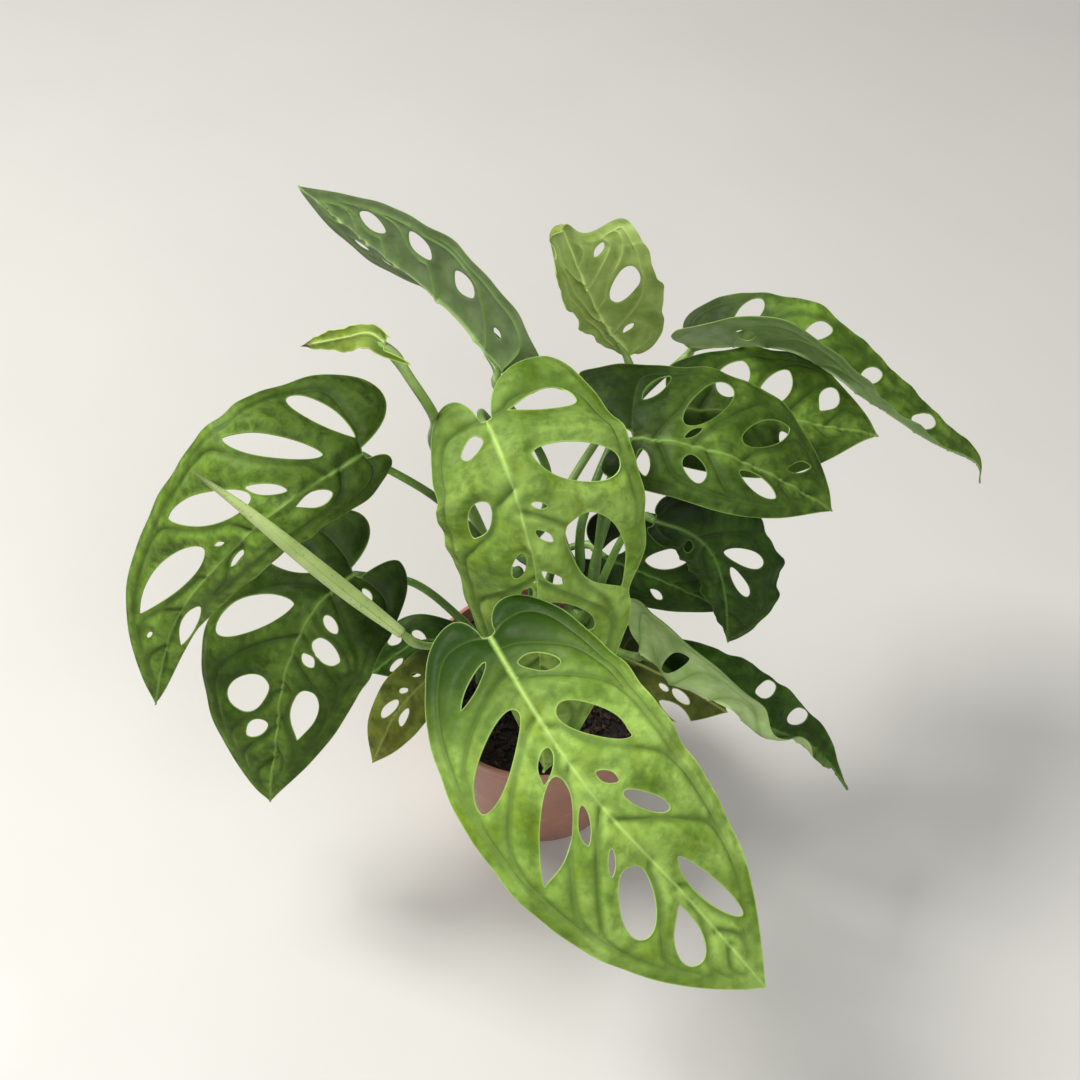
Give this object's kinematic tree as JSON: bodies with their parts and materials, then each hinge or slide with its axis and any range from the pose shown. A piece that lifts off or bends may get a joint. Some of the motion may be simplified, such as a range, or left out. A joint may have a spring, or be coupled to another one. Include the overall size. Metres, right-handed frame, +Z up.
{
  "type": "monstera adansonii in a small pot",
  "caption": "Climbing aroid house plant: oval leaves with rows of holes on long petioles, on short vines rooted in bark mix in a tapered round nursery pot.",
  "frame": {"origin": "centre of the pot's underside, on the surface it stands on", "axes": "+Z up through the pot's axis; seen from the front, +X right and +Y to the back"},
  "size_m": [0.4066, 0.3194, 0.326],
  "materials": {
    "pot": "satin moulded plastic, dusty terracotta pink",
    "soil": "moist bark and fibre mix, matt",
    "vine": "fresh green stem, satin",
    "petiole": "fresh green petiole, satin",
    "leaf_bright": "thin living leaf, satin",
    "leaf_mid": "thin living leaf, satin",
    "leaf_dark": "thin living leaf, satin",
    "leaf_olive": "thin ageing leaf, satin",
    "leaf_pale": "young leaf, satin"
  },
  "bodies": {
    "root": {"pot": "pot", "soil": "soil", "vine_left": "vine", "vine_back": "vine", "vine_right": "vine", "petiole_front": "petiole", "leaf_front": "leaf_bright", "petiole_centre": "petiole", "leaf_centre": "leaf_bright", "petiole_left": "petiole", "leaf_left": "leaf_mid", "petiole_left_low": "petiole", "leaf_left_low": "leaf_dark", "petiole_back_left": "petiole", "leaf_back_left": "leaf_mid", "petiole_top_curled": "petiole", "leaf_top_curled": "leaf_pale", "petiole_far_right": "petiole", "leaf_far_right": "leaf_mid", "petiole_right_back": "petiole", "leaf_right_back": "leaf_mid", "petiole_right": "petiole", "leaf_right": "leaf_mid", "petiole_right_hanging": "petiole", "leaf_right_hanging": "leaf_dark", "petiole_behind_centre": "petiole", "leaf_behind_centre": "leaf_dark", "petiole_olive_right": "petiole", "leaf_olive_right": "leaf_olive", "petiole_lower_right": "petiole", "leaf_lower_right": "leaf_dark", "petiole_olive_left": "petiole", "leaf_olive_left": "leaf_olive", "petiole_dark_left": "petiole", "leaf_dark_left": "leaf_dark", "petiole_unfurling": "petiole", "leaf_unfurling": "leaf_pale", "petiole_rolled": "petiole", "leaf_rolled": "leaf_pale"}
  },
  "joints": []
}
